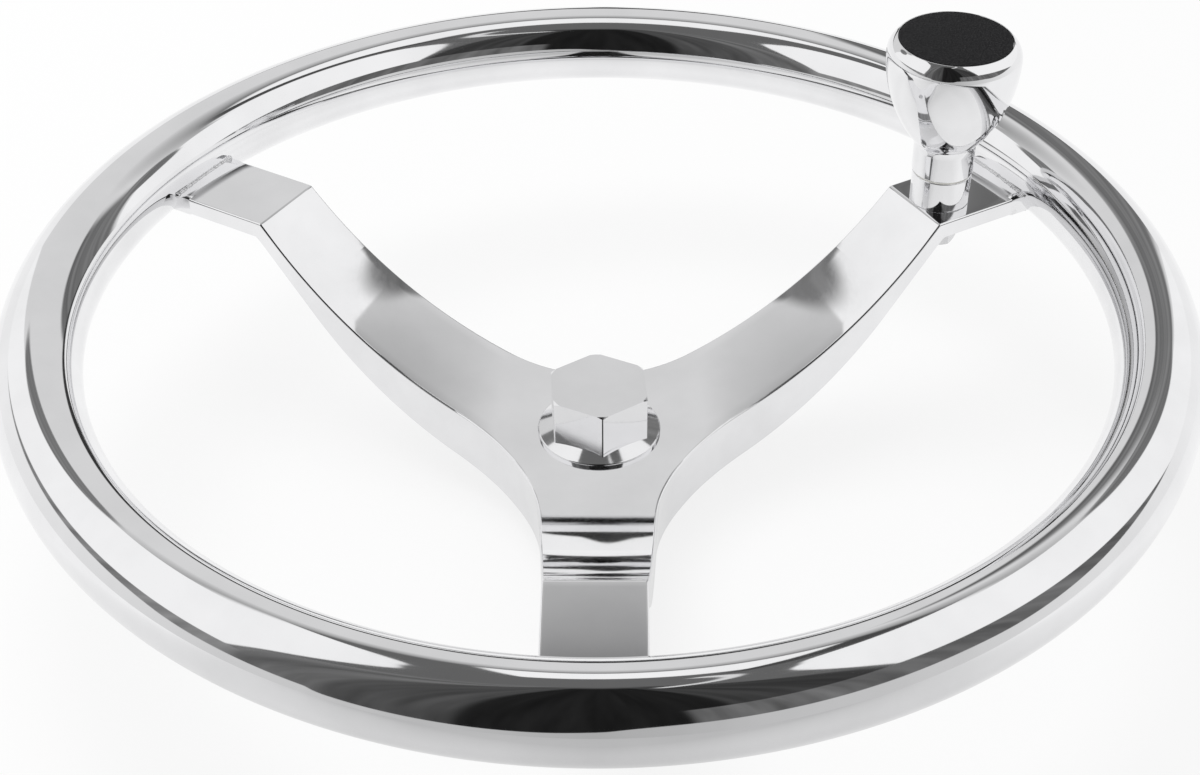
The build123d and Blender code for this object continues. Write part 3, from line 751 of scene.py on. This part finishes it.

# %% [markdown]
# ## Floor and light
# The studio is a white tent: pale floor, pale walls, soft light from everywhere. Polished steel
# shows nothing but its surroundings, so its streaks come from painted reflections: two large bright
# boxes at the sides, a narrow one at the back and dark areas on the camera's side, all painted on
# a dome that only reflections see. The floor is white to the camera. In reflections it is a
# little greyer on the camera's side, which is painted shade.

# %% A helper for the studio's own objects
def add_stage(name, shape, finish):
    """Makes an object that belongs to the studio and not to the wheel."""
    mesh = bpy.data.meshes.new(name)
    shape.to_mesh(mesh)
    shape.free()
    mesh.materials.append(finish)
    thing = bpy.data.objects.new(name, mesh)
    scene.collection.objects.link(thing)
    return thing


# %% Floor
floor_radius, floor_drop, floor_glow = 4.0, 0.5 * mm, 0.8
floor_white, tree, shader = new_finish("floor_white", (0.8, 0.8, 0.8), 0.9)
place = add_node(tree, "TexCoord").outputs["Object"]
parts = add_node(tree, "SeparateXYZ", Vector=place)
# Painted shade: in reflections the floor glows darker towards the camera's side, most of all in front of the
# wheel, standing in for the wheel's shade on it.
reach = calc(tree, "MULTIPLY_ADD", calc(tree, "ABSOLUTE", parts.outputs["X"]), 0.7, parts.outputs["Y"])
level = add_node(tree, "MapRange", Value=reach, From_Min=-0.35, From_Max=0.15, To_Min=0.5, To_Max=1.0)
rays = add_node(tree, "LightPath")
level = add_node(tree, "Mix", {"data_type": "FLOAT"}, _0=rays.outputs["Is Camera Ray"],
                 _2=level.outputs[0], _3=1.0)
seen = calc(tree, "MAXIMUM", rays.outputs["Is Camera Ray"], rays.outputs["Is Glossy Ray"])
glow = add_node(tree, "Emission", Color=(1, 1, 1, 1), Strength=level.outputs[0])
share = calc(tree, "MULTIPLY", seen, floor_glow)
mixed = add_node(tree, "MixShader", _0=share, _1=shader.outputs[0], _2=glow.outputs[0])
link(tree, mixed.outputs[0], tree.nodes["Material Output"].inputs["Surface"])
shape = bmesh.new()
bmesh.ops.create_circle(shape, cap_ends=True, segments=96, radius=floor_radius)
bmesh.ops.translate(shape, verts=shape.verts, vec=(0, 0, -floor_drop))
add_stage("floor", shape, floor_white)
print("floor lies", floor_drop / mm, "mm under the hub")

# %% [markdown]
# The surroundings are one dome around the wheel, close enough that the near and the far side of
# the rim see it from different places. Only reflections see it, so the background stays white
# and the dome throws no shadow. It is painted in layers over a grey ceiling. Each layer has a mask
# from two angles: the turn away from the camera's side and the height over the horizon. The layers
# were placed to give the steel the light and dark areas of the photograph.

# %% The dome's angles
dome_radius, dome_middle = 0.8, 0.05
# The dome's glow is painted reflection: its light and dark areas stand in for lamps and shade, and only the
# steel's reflections show them.
painted_reflections = bpy.data.materials.new("painted_reflection_dome")
painted_reflections.use_nodes = True
tree = painted_reflections.node_tree
tree.nodes.remove(tree.nodes["Principled BSDF"])
place = add_node(tree, "TexCoord").outputs["Object"]
place = add_node(tree, "Mapping", Vector=place, Location=(0, 0, -dome_middle)).outputs[0]
way = add_node(tree, "VectorMath", {"operation": "NORMALIZE"}, _0=place).outputs[0]
parts = add_node(tree, "SeparateXYZ", Vector=way)
to_camera = calc(tree, "MULTIPLY", parts.outputs["Y"], -1.0)
side = calc(tree, "DEGREES", calc(tree, "ARCTAN2", parts.outputs["X"], to_camera))
past_back = calc(tree, "DEGREES", calc(tree, "ARCTAN2", parts.outputs["X"], parts.outputs["Y"]))
rise = calc(tree, "DEGREES", calc(tree, "ARCSINE", parts.outputs["Z"]))
both_sides = calc(tree, "ABSOLUTE", side)

# %% [markdown]
# A mask is 1 inside its area and 0 outside, with a soft edge. Two masks multiplied leave the area
# where both are 1, so a block is a range of turn times a range of height.

# %% Masks and paint
no_limit, under_horizon = 400, -10


def times(first, second):
    return calc(tree, "MULTIPLY", first, second)


def paint(under, mask, level):
    return add_node(tree, "Mix", {"data_type": "FLOAT"}, _0=mask, _2=under, _3=level).outputs[0]


def steps_between(value, low, high, soft):
    """A mask that is 1 where value lies between low and high."""
    smooth = {"interpolation_type": "SMOOTHSTEP"}
    up = add_node(tree, "MapRange", smooth, Value=value, From_Min=low - soft, From_Max=low + soft)
    down = add_node(tree, "MapRange", smooth, Value=value, From_Min=high - soft, From_Max=high + soft,
                    To_Min=1.0, To_Max=0.0)
    return times(up.outputs[0], down.outputs[0])


def block(left, right, low, high, soft=1.5, level_soft=1.5):
    return times(steps_between(side, left, right, soft), steps_between(rise, low, high, level_soft))


def side_of(plane):
    """How far the dome's point lies on one side of a plane through the dome's middle."""
    return add_node(tree, "VectorMath", {"operation": "DOT_PRODUCT"}, _0=way, _1=plane).outputs["Value"]


def round_patch(turn_angle, height, radius, soft):
    """A round mask at this many degrees right of the camera's side, and this high."""
    flat_part = cos(radians(height))
    middle = (sin(radians(turn_angle)) * flat_part, -cos(radians(turn_angle)) * flat_part, sin(radians(height)))
    angle = calc(tree, "DEGREES", calc(tree, "ARCCOSINE", side_of(middle)))
    return steps_between(angle, -no_limit, radius, soft)


# %% [markdown]
# The dome is painted dark on the camera's side, a painted dark room that only reflections show,
# nearly black straight behind the camera. Noise that changes with the turn, and hardly with the
# height, breaks each dark area into upright streaks.

# %% The painted dark room on the camera's side
ceiling = 0.14
streaks = add_node(tree, "CombineXYZ", X=side, Y=times(rise, 0.05))
streaks = add_node(tree, "TexNoise", Vector=streaks.outputs[0], Scale=0.25, Detail=3.0)
streaks = add_node(tree, "MapRange", Value=streaks.outputs["Fac"], From_Min=0.3, From_Max=0.7,
                   To_Min=0.6, To_Max=1.4).outputs[0]
layer = ceiling
for left, right, level in ((-56, -39, 0.16), (-39, -19, 0.075), (-20, 22, 0.014), (21, 46, 0.05)):
    layer = paint(layer, block(left, right, under_horizon, 84, 1.5, 3), times(streaks, level))

# %% [markdown]
# Each soft box is a painted highlight on the dome, not a lamp: a rectangle with very round corners.
# The cubes of the distances across and up are added, and the mask ends where their sum is 1.

# %% The two painted soft boxes
box_half_width, box_half_height, box_rise = 49, 38, 36


def painted_soft_box(middle):
    across = calc(tree, "MULTIPLY_ADD", side, 1 / box_half_width, -middle / box_half_width)
    upward = calc(tree, "MULTIPLY_ADD", rise, 1 / box_half_height, -box_rise / box_half_height)
    cubes = [calc(tree, "POWER", calc(tree, "ABSOLUTE", part), 3.0) for part in (across, upward)]
    return steps_between(calc(tree, "ADD", *cubes), -no_limit, 1, 0.03)


for middle in (97, -104):
    layer = paint(layer, painted_soft_box(middle), 1.0)

# %% [markdown]
# Under each painted soft box the dome is painted dark again, along an edge that slants down. A
# plane through the dome's middle cuts the dome along such an edge.

# %% Painted dark bands under the painted soft boxes
for plane, left, right, level in (((0.37, -0.641, -1.0), 14, 150, 0.15),
                                  ((-0.38, -0.16, -1.0), -135, -54, 0.24)):
    below = times(steps_between(side_of(plane), 0, no_limit, 0.012), block(left, right, under_horizon, 60))
    layer = paint(layer, below, times(streaks, level))

# %% [markdown]
# The painted wall at the back is pale and fades towards its top. A painted dark block stands on
# its right, and two round painted dark patches draw the shaded areas on the two far arms.

# %% The wall at the back
behind = times(steps_between(both_sides, 136, no_limit, 0.4), steps_between(rise, under_horizon, 55, 2.5))
fading = add_node(tree, "MapRange", Value=rise, From_Min=45.0, From_Max=53.0, To_Min=0.74, To_Max=0.42)
layer = paint(layer, behind, fading.outputs[0])
layer = paint(layer, block(138, 167, 2, 41, 1.5, 3), times(streaks, 0.17))
for turn_angle in (138, -138):
    layer = paint(layer, round_patch(turn_angle, 40.5, 6.6, 0.8), times(streaks, 0.18))
print("layers so far:", len(tree.nodes), "nodes")

# %% [markdown]
# The narrow light at the back is painted on the dome. It widens with its height, so its two edges
# are the turn plus a share of the height. It has a painted dark strip beside it and a painted dark
# line along the horizon, and one fine painted bright line lies high on the right.

# %% The narrow painted light at the back
strip_foot, right_lean, left_lean = 32.0, -0.737, 0.415
widening = calc(tree, "SUBTRACT", rise, strip_foot)
right_edge = calc(tree, "MULTIPLY_ADD", widening, right_lean, past_back)
left_edge = calc(tree, "MULTIPLY_ADD", widening, left_lean, past_back)
beside = times(steps_between(right_edge, 4, 15, 1.5), steps_between(rise, 56, 76, 2))
layer = paint(layer, beside, 0.07)
strip = times(steps_between(right_edge, -no_limit, 4, 1.0), steps_between(left_edge, -1, no_limit, 1.0))
layer = paint(layer, times(strip, steps_between(rise, 57, 73, 1.0)), 1.0)
horizon = times(steps_between(past_back, -34, 34, 3), steps_between(rise, 1.0, 12.5, 1.0))
layer = paint(layer, horizon, 0.04)
layer = paint(layer, block(30, 140, 78.6, 80.4, 4, 0.5), 0.8)

# %% [markdown]
# The pale floor comes last, because it hides the foot of everything. Its edge is a curve of
# height over turn with ten listed points.

# %% The floor's edge
highest_edge = 20.0
along = add_node(tree, "MapRange", Value=side, From_Min=-180, From_Max=180).outputs[0]
edge = add_node(tree, "FloatCurve", Value=along)
curve = edge.mapping.curves[0]
for place_along, height in ((0.25, 15), (0.33, 10), (0.386, 8), (0.394, 4), (0.43, 3), (0.5, 7), (0.54, 14),
                            (0.64, 14), (0.69, 11), (0.78, 13)):
    curve.points.new(place_along, height / highest_edge)
curve.points[0].location = (0, 0.0)
curve.points[-1].location = (1, 0.0)
edge.mapping.update()
over_edge = calc(tree, "MULTIPLY_ADD", edge.outputs[0], -highest_edge, rise)
# Painted reflection of the floor: darker towards the camera's side, paler towards the sides.
painted_floor_level = add_node(tree, "MapRange", Value=both_sides, From_Min=0, From_Max=110, To_Min=0.47, To_Max=0.95)
layer = paint(layer, steps_between(over_edge, -no_limit, 0, 0.6), painted_floor_level.outputs[0])
glow = add_node(tree, "Emission", Color=(1, 1, 1, 1), Strength=layer)
link(tree, glow.outputs[0], tree.nodes["Material Output"].inputs["Surface"])
print("dome:", len(tree.nodes), "nodes")

# %% [markdown]
# The dome itself is a sphere. Every kind of ray but the glossy one passes through it.

# %% Dome
shape = bmesh.new()
bmesh.ops.create_uvsphere(shape, u_segments=96, v_segments=48, radius=dome_radius)
bmesh.ops.translate(shape, verts=shape.verts, vec=(0, 0, dome_middle))
dome = add_stage("dome", shape, painted_reflections)
for kind in ("camera", "diffuse", "transmission", "volume_scatter", "shadow"):
    setattr(dome, "visible_" + kind, False)

# %% [markdown]
# ## World and lamp
# The world is plain white to the camera and a little darker as a light. One large soft lamp above
# the left side gives the floor its faint shadow.

# %% World
ambient_level = 0.75
world = bpy.data.worlds.new("studio")
scene.world = world
world.use_nodes = True
tree = world.node_tree
backdrop = tree.nodes["Background"]
backdrop.inputs["Color"].default_value = (1, 1, 1, 1)
backdrop.inputs["Strength"].default_value = 1.0
ambient = add_node(tree, "Background", Color=(1, 1, 1, 1), Strength=ambient_level)
rays = add_node(tree, "LightPath")
seen = calc(tree, "MAXIMUM", rays.outputs["Is Camera Ray"], rays.outputs["Is Glossy Ray"])
seen = calc(tree, "MAXIMUM", seen, rays.outputs["Is Transmission Ray"])
mixed = add_node(tree, "MixShader", _0=seen, _1=ambient.outputs[0], _2=backdrop.outputs[0])
link(tree, mixed.outputs[0], tree.nodes["World Output"].inputs["Surface"])

# %% Lamp
lamp_place = Vector((-0.5, 0.3, 1.6))
lamp_data = bpy.data.lights.new("tent_light", "AREA")
lamp_data.shape, lamp_data.size, lamp_data.energy = "DISK", 1.2, 14
lamp = bpy.data.objects.new("tent_light", lamp_data)
lamp.matrix_world = Matrix.Translation(lamp_place) @ lamp_place.to_track_quat("Z", "Y").to_matrix().to_4x4()
lamp.visible_glossy = False
scene.collection.objects.link(lamp)
scene.view_settings.view_transform = "Standard"
